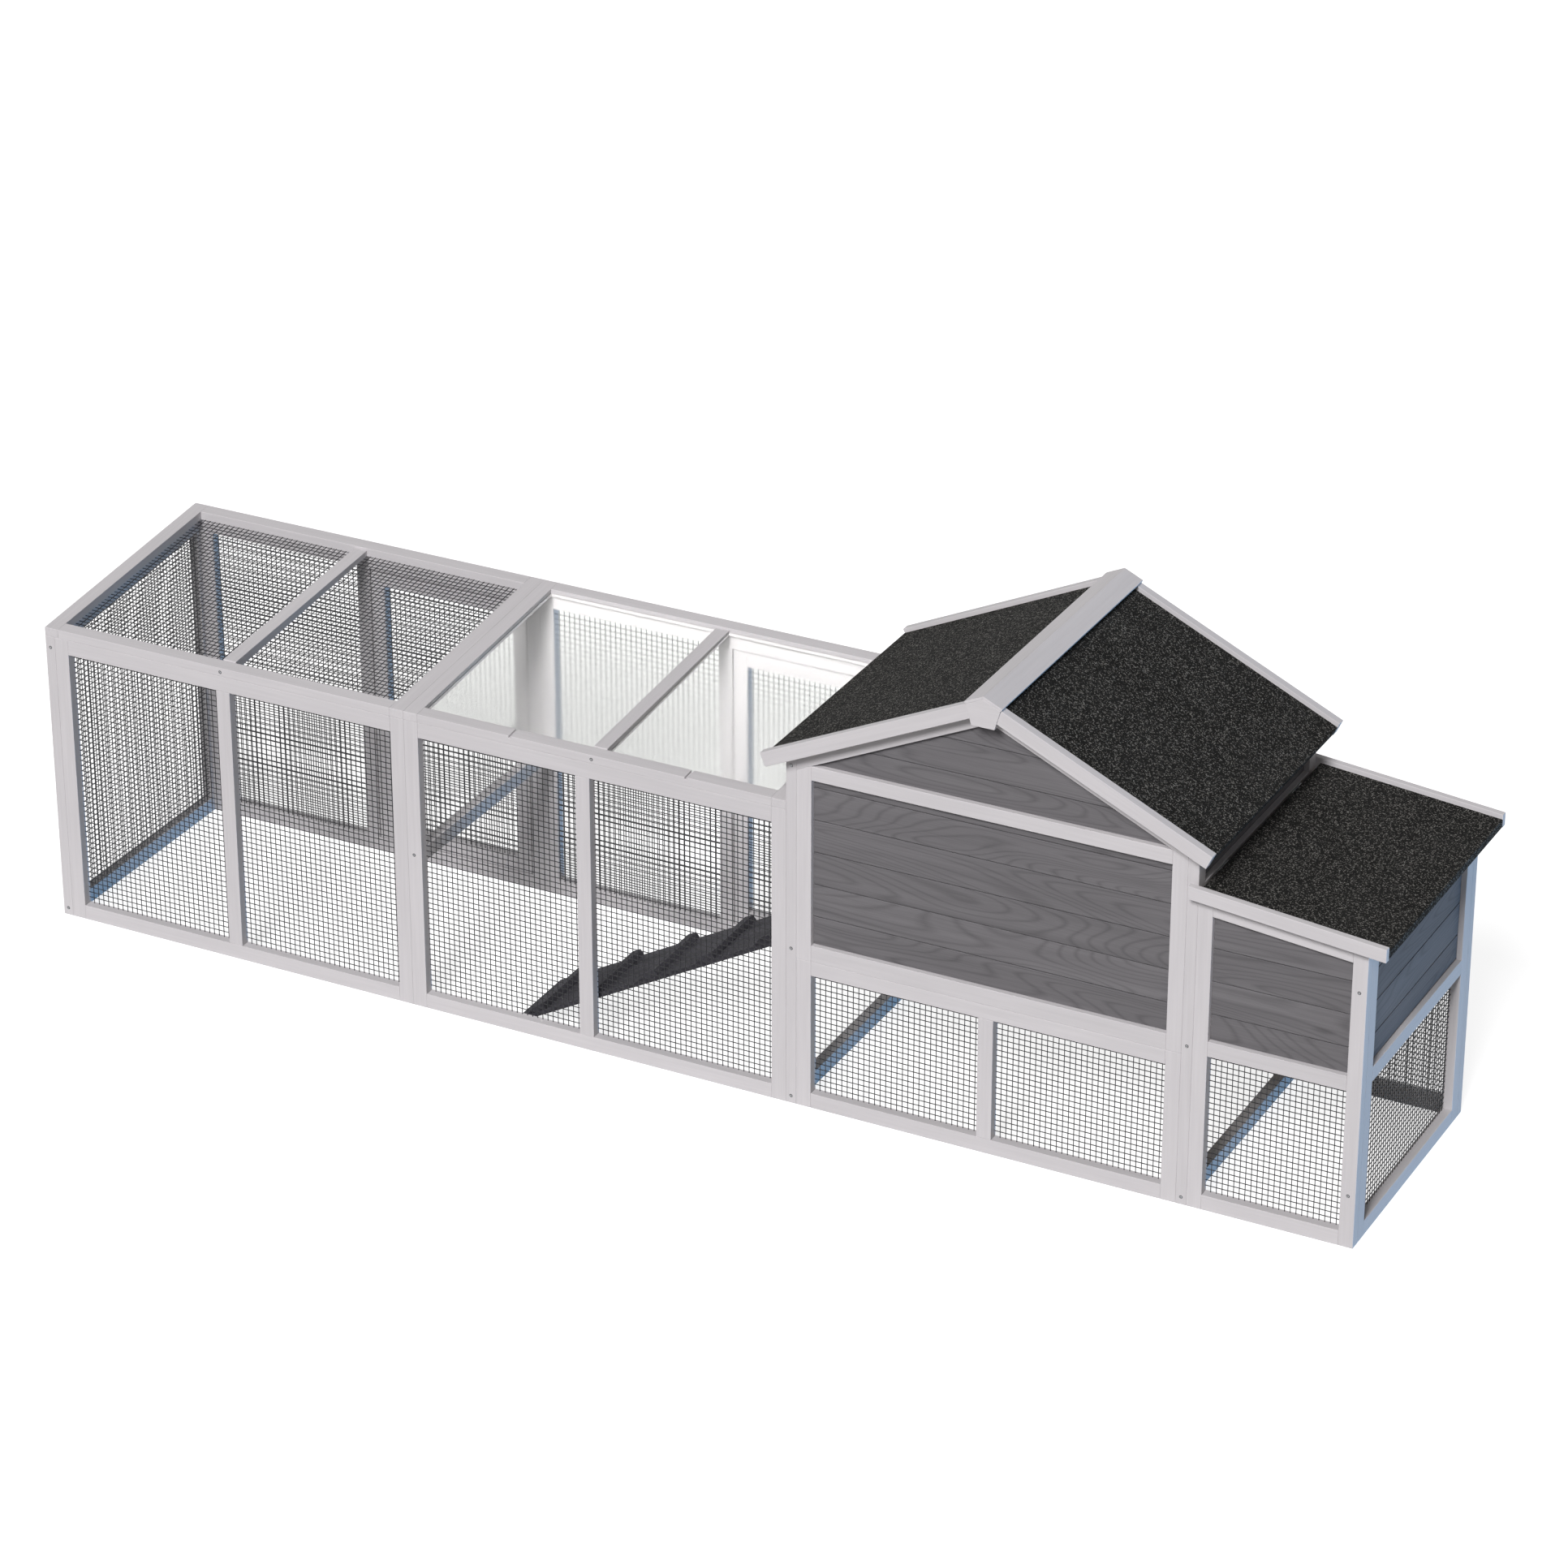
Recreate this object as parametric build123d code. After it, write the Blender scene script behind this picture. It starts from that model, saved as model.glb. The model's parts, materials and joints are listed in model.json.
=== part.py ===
from build123d import *
import os
from math import atan, cos, radians, sin, tan

os.makedirs("parts", exist_ok=True)

# Chicken coop: two wire runs, a gabled house and a nest box in one row.
# While it is drawn, X runs from the left end, Y from the front face and Z from the ground.
# Each piece is shifted at the end, so that the origin is under the middle of the coop.

# Lengths of the four bays and the depth of the whole row
run_1_length = 910.3
run_2_length = 910.5
house_length = 867.4
nest_length = 363.3
depth = 609.4

# Planed timber that the panels are made of
panel_t = 24.0
stile_w = 34.0
rail_w = 34.5
nest_stile_w = 32.4
run_centre_stile_1 = 439.2
run_centre_stile_2 = 415.0
far_stile_shift_2 = 30.0

# Run panels and their roof frames
run_panel_h = 690.3
run_top_rail_w = 36.2
run_roof_rise = 56.7
run_roof_t = 20.0
roof_edge_w = 32.0
rafter_w = 32.0
rafter_shift_1 = 2.0
rafter_shift_2 = 29.0
rafter_lift = 2.5
rafter_drop = 5.0
sheet_t = 4.0
sheet_drop = 3.5
drip_groove_w = 6.0
drip_groove_d = 5.0
drip_groove_1 = 257.0
drip_groove_2 = 675.3
tie_rail_drop = 34.4

# Wire netting, drawn with a wide pitch
net_setback = 19.0
net_t = 1.0
net_pitch = 50.8
net_strand = 2.5

# House walls
lower_panel_h = 349.6
lower_top_rail_w = 33.3
house_centre_stile = 417.5
floor_rail_w = 37.8
cross_rail_w = 32.53
siding_t = 10.0
siding_setback = 12.0
board_pitch = 74.5
first_board_h = 63.6
nest_groove_drop = 2.0
gable_board_h = 52.4
groove_h = 2.0
groove_d = 2.5
floor_t = 12.0
batten_h = 24.0
batten_w = 20.0

# House roof
pitch = 25.0
eaves_gap = 30.2
barge_stand = 10.0
felt_t = 3.0
deck_t = 15.0
rake_rail_w = 37.0
barge_w = 32.0
barge_t = 20.0
house_overhang = 37.0
barge_run = 499.5
felt_fold = 18.0
cap_w = 42.0
cap_t = 6.0
plate_top_run = 38.0
plate_foot_run = 25.5
plate_h = 62.0
plate_proud = 2.0
plate_gap = 1.0

# Openings in the house walls
pop_hole_w = 195.0
pop_hole_h = 262.6
pop_door_t = 6.0
pop_door_lap = 3.0
runner_t = 8.0
runner_h = 12.0
slide_gap = 0.5
nest_lip_h = 60.0
nest_lip_t = 12.0

# Nest box and its lid
nest_rail_drop = 30.1
nest_top_rail_w = 38.2
lid_slope = 0.093
lid_drop = 26.1
lid_board_d = 29.5
lid_board_t = 15.0
lid_overhang = 25.0
lid_left_lap = 13.2
lid_right_lap = 44.5
lid_rest_gap = 0.3
divider_t = 12.0
divider_gap = 1.0

# Perch
perch_h = 24.0
perch_post_h = 70.0
perch_inset = 60.0
perch_y = 400.0

# Ramp
ramp_angle = 29.0
ramp_head_drop = 11.7
ramp_front_y = 37.0
ramp_w = 192.0
ramp_t = 10.0
ramp_end_gap = 0.5
cleat_first = 84.0
cleat_top_gap = 51.0
cleat_count = 5
cleat_rise_l = 33.0
cleat_flat_l = 22.0
cleat_end_l = 3.0
cleat_h = 14.0

# Doors in the far side
door_gap = 2.5
door_stile_w = 34.0

# Hinges, pins and bolts
knuckle_r = 3.5
pin_r = 1.5
pin_play = 0.05
hinge_play = 0.3
leaf_t = 1.5
leaf_w = 25.0
hinge_l = 51.0
ramp_hinge_l = 120.0
ramp_web_x0 = 2.4
hinge_inset = 90.0
bolt_r = 4.0
bolt_play = 0.1
keeper_play = 0.3
bolt_plate_l = 60.0
bolt_plate_h = 28.0
guide_l = 8.0
guide_h = 16.0
guide_d = 12.0
knob_r = 3.0
knob_l = 14.0
bolt_inset = 2.0
screw_r = 3.6
screw_proud = 1.0
high_screw_drop = 27.0
low_end_screw_rise = 84.8
high_end_screw_rise = 196.0
rafter_screw_shift = 5.0
tie_screw_shift = 2.0

# Stations along the length
x_run_2 = run_1_length
x_left_wall = x_run_2 + run_2_length
x_house = x_left_wall + panel_t
x_right_wall = x_house + house_length
x_nest = x_right_wall + panel_t
x_end = x_nest + nest_length
ridge_x = x_house + house_length / 2
lid_left_x = x_nest - lid_left_lap
lid_right_x = x_end + lid_right_lap
back_y = depth - panel_t
middle_y = depth / 2

# Levels, each one from the level it rests on or clears
roof_fall = tan(radians(pitch))
roof_cos = cos(radians(pitch))
floor_z = lower_panel_h + floor_rail_w
tie_rail_z = floor_z - tie_rail_drop
nest_mid_rail_z = floor_z - nest_rail_drop
first_groove_z = floor_z + first_board_h
run_roof_top_z = run_panel_h + run_roof_rise + run_roof_t
deck_edge_z = run_roof_top_z + eaves_gap
barge_top_z = deck_edge_z + roof_fall * barge_run + (felt_t + deck_t) / roof_cos + barge_stand
plate_foot_z = barge_top_z - plate_h
rake_rail_apex = barge_top_z - barge_stand - (felt_t + deck_t + rake_rail_w) / roof_cos
cross_rail_z1 = rake_rail_apex - roof_fall * (house_length / 2 - stile_w)
cross_rail_z = cross_rail_z1 - cross_rail_w
gable_groove_z = cross_rail_z1 + gable_board_h
lid_top_z = cross_rail_z - lid_drop

parts = {}


def block(x0, x1, y0, y1, z0, z1):
    """Rectangular solid between two corners."""
    return Solid.make_box(x1 - x0, y1 - y0, z1 - z0).moved(Location((x0, y0, z0)))


def prism(outline, push):
    """Solid swept straight from a flat outline of 3-D points."""
    return Solid.extrude(Face(Wire.make_polygon(outline)), Vector(*push))


def along_x(outline_yz, x0, x1):
    """Solid of one cross-section in Y and Z, from x0 to x1."""
    return prism([(x0, y, z) for y, z in outline_yz], (x1 - x0, 0, 0))


def along_y(outline_xz, y0, y1):
    """Solid of one cross-section in X and Z, from y0 to y1."""
    return prism([(x, y0, z) for x, z in outline_xz], (0, y1 - y0, 0))


def rod(start, direction, radius, length):
    """Round bar from a point along a direction."""
    return Solid.make_cylinder(radius, length, Plane(origin=start, z_dir=direction))


def between(x0, x1, low, high, y0, y1):
    """Timber along Y between two edges that are each a function of X."""
    return along_y([(x0, low(x0)), (x1, low(x1)), (x1, high(x1)), (x0, high(x0))], y0, y1)


def net_gaps(length):
    """Start and end of each gap, as fractions of a side of the net."""
    count = max(1, round(length / net_pitch))
    step = (length - net_strand) / count
    starts = [net_strand + i * step for i in range(count)]
    return [(start / length, (start + step - net_strand) / length) for start in starts]


def net(corners, push):
    """One holed sheet between four corners given round its edge."""
    a, b, c, d = [Vector(*corner) for corner in corners]

    def at(s, t):
        return (a * (1 - s) + b * s) * (1 - t) + (d * (1 - s) + c * s) * t

    holes = []
    for s0, s1 in net_gaps((b - a).length):
        for t0, t1 in net_gaps((d - a).length):
            holes.append(Wire.make_polygon([at(s0, t0), at(s1, t0), at(s1, t1), at(s0, t1)]))
    return Solid.extrude(Face(Wire.make_polygon([a, b, c, d]), holes), Vector(*push))


def wall_net(x0, x1, z0, z1, face_y):
    """Upright net that fills one opening of a front or back panel."""
    corners = [(x0, face_y, z0), (x1, face_y, z0), (x1, face_y, z1), (x0, face_y, z1)]
    return net(corners, (0, net_t, 0))


def panel(x0, x1, y0, z0, z1, left_w, right_w, bottom_w, top_w):
    """Two full-height stiles with a bottom and a top rail between them."""
    y1 = y0 + panel_t
    return [
        block(x0, x0 + left_w, y0, y1, z0, z1),
        block(x1 - right_w, x1, y0, y1, z0, z1),
        block(x0 + left_w, x1 - right_w, y0, y1, z0, z0 + bottom_w),
        block(x0 + left_w, x1 - right_w, y0, y1, z1 - top_w, z1),
    ]


def boards(run, start, stop, face, inward, z0, z1, groove_z):
    """Horizontal siding boards, each with a rebate under its outer lower edge."""
    edges = [z0]
    z = groove_z
    while z < z1 - groove_h:
        if z > z0 + groove_h:
            edges.append(z)
        z += board_pitch
    edges.append(z1)
    solids = []
    for low, high in zip(edges, edges[1:]):
        rebate_top = low + groove_h
        outline = [(0, rebate_top), (groove_d, rebate_top), (groove_d, low)]
        if low == z0:
            outline = [(0, low)]
        outline += [(siding_t, low), (siding_t, high), (0, high)]
        section = [(face + inward * v, z) for v, z in outline]
        solids.append(along_x(section, start, stop) if run == "x" else along_y(section, start, stop))
    return solids


def clipped(solids, cutter):
    """The parts of some solids that lie inside a cutter."""
    kept = []
    for solid in solids:
        result = solid & cutter
        if result is not None:
            kept += list(result.solids())
    return kept


def half_hinge(origin, leaf_dir, side_dir, spans, offset, bore_r, length, web_x0=0.0):
    """One hinge leaf with its knuckles: the pin lies on the local Z axis."""
    axis = Vector(*leaf_dir).cross(Vector(*side_dir))
    place = Plane(origin=origin, x_dir=leaf_dir, z_dir=axis).location
    start = knuckle_r + hinge_play
    leaf = block(start, leaf_w, offset - leaf_t, offset, -length / 2, length / 2)
    for low, high in spans:
        web = block(web_x0, start, min(pin_r + hinge_play, offset - leaf_t), offset, low, high)
        leaf = leaf + web + rod((0, 0, low), (0, 0, 1), knuckle_r, high - low)
    leaf = leaf - rod((0, 0, -length), (0, 0, 1), bore_r, 2 * length)
    return leaf.solid().moved(place)


def outer_spans(length):
    """The two end knuckles, which the fixed leaf carries."""
    inner = length / 6 + hinge_play / 2
    return [(-length / 2, -inner), (inner, length / 2)]


def inner_span(length):
    """The middle knuckle, which the moving leaf carries."""
    inner = length / 6 - hinge_play / 2
    return [(-inner, inner)]


def roof_z(y):
    """Underside of the run roof frames."""
    return run_panel_h + run_roof_rise * y / depth


def rake(apex_z):
    """Line that falls from the ridge at the roof pitch, as a function of X."""
    return lambda x: apex_z - roof_fall * abs(x - ridge_x)


def lid_line(drop):
    """Line that is a fixed drop under the top edge of the nest lid's boards."""
    return lambda x: lid_top_z - drop - lid_slope * (x - x_nest)


def plumb(thickness):
    """Upright measure of a layer that lies at the roof pitch."""
    return thickness / roof_cos


barge_top = rake(barge_top_z)
felt_top = rake(barge_top_z - barge_stand)
deck_top = rake(barge_top_z - barge_stand - plumb(felt_t))
deck_under = rake(barge_top_z - barge_stand - plumb(felt_t + deck_t))
rake_rail_under = rake(rake_rail_apex)
lid_felt_top = lid_line(barge_stand)
lid_deck_top = lid_line(barge_stand + felt_t)
lid_under = lid_line(barge_stand + felt_t + deck_t)
nest_frame_top = lid_line(barge_stand + felt_t + deck_t + lid_rest_gap)
nest_top_rail_under = lid_line(barge_stand + felt_t + deck_t + lid_rest_gap + nest_top_rail_w)


def ground(x):
    """Level of the ground."""
    return 0.0


# Left end panel, which runs through to the front and back faces
def end_member(y0, y1, low, high):
    """Timber of the left end panel, whose top follows the roof."""
    return along_x([(y0, low(y0)), (y1, low(y1)), (y1, high(y1)), (y0, high(y0))], 0, panel_t)


def end_rail_under(y):
    return roof_z(y) - stile_w


inner_y0 = stile_w
inner_y1 = depth - stile_w
parts["left_end_frame"] = [
    end_member(0, inner_y0, ground, roof_z),
    end_member(inner_y1, depth, ground, roof_z),
    block(0, panel_t, inner_y0, inner_y1, 0, rail_w),
    end_member(inner_y0, inner_y1, end_rail_under, roof_z),
]
left_end_net = net(
    [
        (net_setback, inner_y0, rail_w),
        (net_setback, inner_y1, rail_w),
        (net_setback, inner_y1, end_rail_under(inner_y1)),
        (net_setback, inner_y0, end_rail_under(inner_y0)),
    ],
    (net_t, 0, 0),
)


# Front panels of the two runs
def run_front(x0, x1, centre):
    """Front panel of a run with one centre stile, and the nets in its two openings."""
    frame = panel(x0, x1, 0, 0, run_panel_h, stile_w, stile_w, rail_w, run_top_rail_w)
    top = run_panel_h - run_top_rail_w
    frame.append(block(centre, centre + stile_w, 0, panel_t, rail_w, top))
    nets = [
        wall_net(x0 + stile_w, centre, rail_w, top, net_setback),
        wall_net(centre + stile_w, x1 - stile_w, rail_w, top, net_setback),
    ]
    return frame, nets


run_1_centre = run_centre_stile_1
run_2_centre = x_run_2 + run_centre_stile_2
run_2_far_stile = run_2_centre + far_stile_shift_2
parts["run_1_front_frame"], run_1_front_nets = run_front(panel_t, x_run_2, run_1_centre)
parts["run_2_front_frame"], run_2_front_nets = run_front(x_run_2, x_left_wall, run_2_centre)


# Far panels of the two runs, each with a door in its right half
back_top = roof_z(back_y)
back_net_y = depth - net_setback - net_t


def run_back(x0, x1, centre):
    """Far panel of a run: a netted left half and an opening for a door."""
    frame = panel(x0, x1, back_y, 0, back_top, stile_w, stile_w, rail_w, stile_w)
    top = back_top - stile_w
    frame.append(block(centre, centre + stile_w, back_y, depth, rail_w, top))
    return frame, [wall_net(x0 + stile_w, centre, rail_w, top, back_net_y)]


parts["run_1_back_frame"], run_1_back_nets = run_back(panel_t, x_run_2, run_1_centre)
parts["run_2_back_frame"], run_2_back_nets = run_back(x_run_2, x_left_wall, run_2_far_stile)


def run_door(x0, x1):
    """Netted door frame that fills an opening with an even gap all round."""
    left = x0 + door_gap
    right = x1 - door_gap
    low = rail_w + door_gap
    high = back_top - stile_w - door_gap
    w = door_stile_w
    frame = panel(left, right, back_y, low, high, w, w, w, w)
    return frame, [wall_net(left + w, right - w, low + w, high - w, back_net_y)]


run_1_door_x = (run_1_centre + stile_w, x_run_2 - stile_w)
run_2_door_x = (run_2_far_stile + stile_w, x_left_wall - stile_w)
parts["run_1_door_frame"], parts["run_1_door_mesh"] = run_door(*run_1_door_x)
parts["run_2_door_frame"], parts["run_2_door_mesh"] = run_door(*run_2_door_x)

# Rail that ties the front and far panels together between the two runs
tie_x = x_run_2 + stile_w - panel_t
parts["tie_rail"] = [block(tie_x, tie_x + panel_t, panel_t, back_y, tie_rail_z, tie_rail_z + stile_w)]


# Roof frames of the two runs
def sloped(x0, x1, y0, y1, low_0, high_0, low_1, high_1):
    """Timber along Y on the run roof, with heights above its underside at each end."""
    outline = [
        (y0, roof_z(y0) + low_0),
        (y1, roof_z(y1) + low_1),
        (y1, roof_z(y1) + high_1),
        (y0, roof_z(y0) + high_0),
    ]
    return along_x(outline, x0, x1)


def flat_slope(x0, x1, y0, y1, low, high):
    """Layer of even thickness on the run roof."""
    return sloped(x0, x1, y0, y1, low, high, low, high)


def roof_frame(x0, x1, rafter_x):
    """Four edge timbers and one rafter."""
    front = roof_edge_w
    back = depth - roof_edge_w
    left = x0 + stile_w
    right = x1 - stile_w
    t = run_roof_t
    rafter = (front, back, net_t, t + rafter_lift, net_t, t - rafter_drop)
    return [
        flat_slope(x0, left, 0, depth, 0, t),
        flat_slope(right, x1, 0, depth, 0, t),
        flat_slope(left, right, 0, front, 0, t),
        flat_slope(left, right, back, depth, 0, t),
        sloped(rafter_x, rafter_x + rafter_w, *rafter),
    ]


def roof_net(x0, x1):
    """Net on the underside of one roof opening."""
    y0 = roof_edge_w
    y1 = depth - roof_edge_w
    corners = [(x0, y0, roof_z(y0)), (x1, y0, roof_z(y0)), (x1, y1, roof_z(y1)), (x0, y1, roof_z(y1))]
    return net(corners, (0, 0, net_t))


rafter_1_x = run_1_centre + rafter_shift_1
rafter_2_x = run_2_centre + rafter_shift_2
parts["run_1_roof_frame"] = roof_frame(0, x_run_2, rafter_1_x)
run_2_roof = roof_frame(x_run_2, x_left_wall, rafter_2_x)

for offset in (drip_groove_1, drip_groove_2):
    groove_x = x_run_2 + offset
    groove = flat_slope(groove_x, groove_x + drip_groove_w, -1, roof_edge_w + 1,
                        run_roof_t - drip_groove_d, run_roof_t + 1)
    run_2_roof[2] = (run_2_roof[2] - groove).solid()
parts["run_2_roof_frame"] = run_2_roof
roof_net_split = rafter_1_x + rafter_w / 2
parts["run_1_mesh"] = run_1_front_nets + run_1_back_nets + [left_end_net]
parts["run_1_mesh"] += [
    roof_net(stile_w, roof_net_split),
    roof_net(roof_net_split, x_run_2 - stile_w),
]
parts["run_2_mesh"] = run_2_front_nets + run_2_back_nets
sheet_high = run_roof_t - sheet_drop - rafter_drop
sheet_y = (roof_edge_w, depth - roof_edge_w)
parts["run_2_roof_sheets"] = [
    flat_slope(x_run_2 + stile_w, rafter_2_x, *sheet_y, sheet_high - sheet_t, sheet_high),
    flat_slope(rafter_2_x + rafter_w, x_left_wall - stile_w, *sheet_y, sheet_high - sheet_t, sheet_high),
]


# Side walls of the house, which run through to the front and back faces
def wall_top(x0, x1, y0, y1, low):
    """Timber of a house side wall whose top is bevelled to the roof."""
    return between(x0, x1, low, deck_under, y0, y1)


def house_wall(x0, x1):
    """Two stiles and the bottom, floor and top rails of a house side wall."""
    top_rail_low = min(deck_under(x0), deck_under(x1)) - stile_w

    def top_rail_under(x):
        return top_rail_low

    return [
        wall_top(x0, x1, 0, inner_y0, ground),
        wall_top(x0, x1, inner_y1, depth, ground),
        block(x0, x1, inner_y0, inner_y1, 0, rail_w),
        block(x0, x1, inner_y0, inner_y1, floor_z - stile_w, floor_z),
        wall_top(x0, x1, inner_y0, inner_y1, top_rail_under),
    ]


wall_siding_top = min(deck_under(x_left_wall), deck_under(x_nest)) - stile_w
pop_y1 = inner_y0 + pop_hole_w
pop_z1 = floor_z + pop_hole_h
jamb_y1 = pop_y1 + stile_w
parts["left_wall_frame"] = house_wall(x_left_wall, x_house) + [
    block(x_left_wall, x_house, pop_y1, jamb_y1, floor_z, wall_siding_top),
    block(x_left_wall, x_house, inner_y0, pop_y1, pop_z1, pop_z1 + stile_w),
]
left_siding_x = x_left_wall + siding_setback
parts["left_wall_siding"] = boards(
    "y", jamb_y1, inner_y1, left_siding_x, 1, floor_z, wall_siding_top, first_groove_z
) + boards(
    "y", inner_y0, pop_y1, left_siding_x, 1, pop_z1 + stile_w, wall_siding_top, first_groove_z
)

lid_axis_x = x_nest + knuckle_r + hinge_play
lid_axis_z = lid_deck_top(lid_axis_x) - knuckle_r - hinge_play
lid_rail_z1 = lid_axis_z + knuckle_r
lid_rail_z0 = lid_rail_z1 - stile_w
lip_z1 = floor_z + nest_lip_h
centre_y0 = middle_y - stile_w / 2
centre_y1 = middle_y + stile_w / 2
parts["right_wall_frame"] = house_wall(x_right_wall, x_nest) + [
    block(x_right_wall, x_nest, inner_y0, inner_y1, lid_rail_z0, lid_rail_z1),
    block(x_right_wall, x_nest, centre_y0, centre_y1, floor_z, lid_rail_z0),
]
right_siding_x = x_nest - siding_setback
lip_x0 = x_right_wall + (panel_t - nest_lip_t) / 2
lip_x1 = lip_x0 + nest_lip_t
parts["right_wall_siding"] = boards(
    "y", inner_y0, inner_y1, right_siding_x, -1, lid_rail_z1, wall_siding_top, first_groove_z
) + [
    block(lip_x0, lip_x1, inner_y0, centre_y0, floor_z, lip_z1),
    block(lip_x0, lip_x1, centre_y1, inner_y1, floor_z, lip_z1),
]


# Front and far walls of the house: a netted lower panel and a boarded gable panel
house_in_0 = x_house + stile_w
house_in_1 = x_right_wall - stile_w
house_centre = x_house + house_centre_stile
lower_open_z1 = lower_panel_h - lower_top_rail_w


def house_lower(y0, net_y):
    """Lower house panel with a centre stile, and the nets in its two openings."""
    frame = panel(x_house, x_right_wall, y0, 0, lower_panel_h, stile_w, stile_w, rail_w,
                  lower_top_rail_w)
    frame.append(block(house_centre, house_centre + stile_w, y0, y0 + panel_t, rail_w, lower_open_z1))
    nets = [
        wall_net(house_in_0, house_centre, rail_w, lower_open_z1, net_y),
        wall_net(house_centre + stile_w, house_in_1, rail_w, lower_open_z1, net_y),
    ]
    return frame, nets


def level(z):
    """Constant height as a function of X."""
    return lambda x: z


def house_upper(y0):
    """Upper house panel: stiles, floor rail, cross rail and two raking rails."""
    y1 = y0 + panel_t
    return [
        between(x_house, house_in_0, level(lower_panel_h), rake_rail_under, y0, y1),
        between(house_in_1, x_right_wall, level(lower_panel_h), rake_rail_under, y0, y1),
        block(house_in_0, house_in_1, y0, y1, lower_panel_h, floor_z),
        block(house_in_0, house_in_1, y0, y1, cross_rail_z, cross_rail_z1),
        between(x_house, ridge_x, rake_rail_under, deck_under, y0, y1),
        between(ridge_x, x_right_wall, rake_rail_under, deck_under, y0, y1),
    ]


def gable_boards(face, inward):
    """Siding boards of the triangle over the cross rail."""
    apex = rake_rail_under(ridge_x)
    triangle = [(house_in_0, cross_rail_z1), (house_in_1, cross_rail_z1), (ridge_x, apex)]
    field = boards("x", house_in_0, house_in_1, face, inward, cross_rail_z1, apex, gable_groove_z)
    return clipped(field, along_y(triangle, -panel_t, depth + panel_t))


parts["house_front_lower_frame"], front_nets = house_lower(0, net_setback)
parts["house_back_lower_frame"], back_nets = house_lower(back_y, back_net_y)
parts["house_mesh"] = front_nets + back_nets
parts["house_front_upper_frame"] = house_upper(0)
parts["house_back_upper_frame"] = house_upper(back_y)
parts["house_front_siding"] = boards(
    "x", house_in_0, house_in_1, siding_setback, 1, floor_z, cross_rail_z, first_groove_z
) + gable_boards(siding_setback, 1)
parts["house_back_siding"] = gable_boards(depth - siding_setback, -1)

# Boarded door in the far side of the house
house_door_x = (house_in_0 + door_gap, house_in_1 - door_gap)
house_door_z = (floor_z + door_gap, cross_rail_z - door_gap)
parts["house_door_frame"] = panel(
    *house_door_x, back_y, *house_door_z, door_stile_w, door_stile_w, door_stile_w, door_stile_w
)
parts["house_door_siding"] = boards(
    "x",
    house_door_x[0] + door_stile_w,
    house_door_x[1] - door_stile_w,
    depth - siding_setback,
    -1,
    house_door_z[0] + door_stile_w,
    house_door_z[1] - door_stile_w,
    first_groove_z,
)

# House floor on two battens, and the perch on its two posts
batten_z0 = floor_z - floor_t - batten_h
parts["house_floor"] = [
    block(x_house, x_right_wall, panel_t, back_y, floor_z - floor_t, floor_z),
    block(x_house, x_right_wall, panel_t, panel_t + batten_w, batten_z0, floor_z - floor_t),
    block(x_house, x_right_wall, back_y - batten_w, back_y, batten_z0, floor_z - floor_t),
]
perch_x = (x_house + perch_inset, x_right_wall - perch_inset)
perch_z = floor_z + perch_post_h
parts["perch"] = [
    block(*perch_x, perch_y, perch_y + stile_w, perch_z, perch_z + perch_h),
    block(perch_x[0], perch_x[0] + panel_t, perch_y, perch_y + stile_w, floor_z, perch_z),
    block(perch_x[1] - panel_t, perch_x[1], perch_y, perch_y + stile_w, floor_z, perch_z),
]

# House roof: decks and felt between the bargeboards, mirrored about the ridge
roof_y0 = barge_t - house_overhang
roof_y1 = depth - roof_y0
rise = sin(radians(pitch))
fall = roof_cos


def mirrored(outline, side):
    """Outline given as a run from the ridge and a height, on one side of it."""
    return [(ridge_x + side * run, z) for run, z in outline]


def drop_line(run, apex_z):
    """Height of a raking line at a run from the ridge."""
    return apex_z - roof_fall * run


deck_apex = deck_top(ridge_x)
felt_apex = felt_top(ridge_x)
under_apex = deck_under(ridge_x)
stand_off = barge_stand * fall * rise
felt_run = barge_run - stand_off
felt_end = (felt_run, drop_line(felt_run, felt_apex))
fold_foot = (felt_run - felt_fold * rise, felt_end[1] - felt_fold * fall)
fold_inner = (fold_foot[0] - felt_t * fall, fold_foot[1] + felt_t * rise)
felt_inner_run = fold_inner[0] + (felt_fold - felt_t) * rise
felt_inner = (felt_inner_run, fold_inner[1] + (felt_fold - felt_t) * fall)
deck_outline = [(0, under_apex), (0, deck_apex), felt_inner,
                (felt_inner[0] - deck_t * rise, felt_inner[1] - deck_t * fall)]
felt_outline = [(0, deck_apex), (0, felt_apex), felt_end, fold_foot, fold_inner, felt_inner]
parts["roof_decks"] = [along_y(mirrored(deck_outline, side), roof_y0, roof_y1) for side in (-1, 1)]
parts["roof_felts"] = [along_y(mirrored(felt_outline, side), roof_y0, roof_y1) for side in (-1, 1)]

# Bargeboards, with square ends, and the plates over their joints at the ridge
barge_end = (barge_run, drop_line(barge_run, barge_top_z))
barge_foot = (barge_run - barge_w * rise, barge_end[1] - barge_w * fall)
plate_shoulder = (plate_top_run, drop_line(plate_top_run, barge_top_z))
board_start = plate_top_run + plate_gap
board_head = (board_start, drop_line(board_start, barge_top_z))
board_heel = (board_start - barge_w * rise, board_head[1] - barge_w * fall)
barge_outline = [board_head, barge_end, barge_foot, board_heel]
plate_outline = [
    (ridge_x - plate_foot_run, plate_foot_z),
    (ridge_x + plate_foot_run, plate_foot_z),
    (ridge_x + plate_top_run, plate_shoulder[1]),
    (ridge_x, barge_top_z),
    (ridge_x - plate_top_run, plate_shoulder[1]),
]
front_y = -house_overhang
far_y = depth + house_overhang
parts["bargeboards"] = []
for side in (-1, 1):
    outline = mirrored(barge_outline, side)
    parts["bargeboards"].append(along_y(outline, front_y, roof_y0))
    parts["bargeboards"].append(along_y(outline, roof_y1, far_y))
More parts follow.
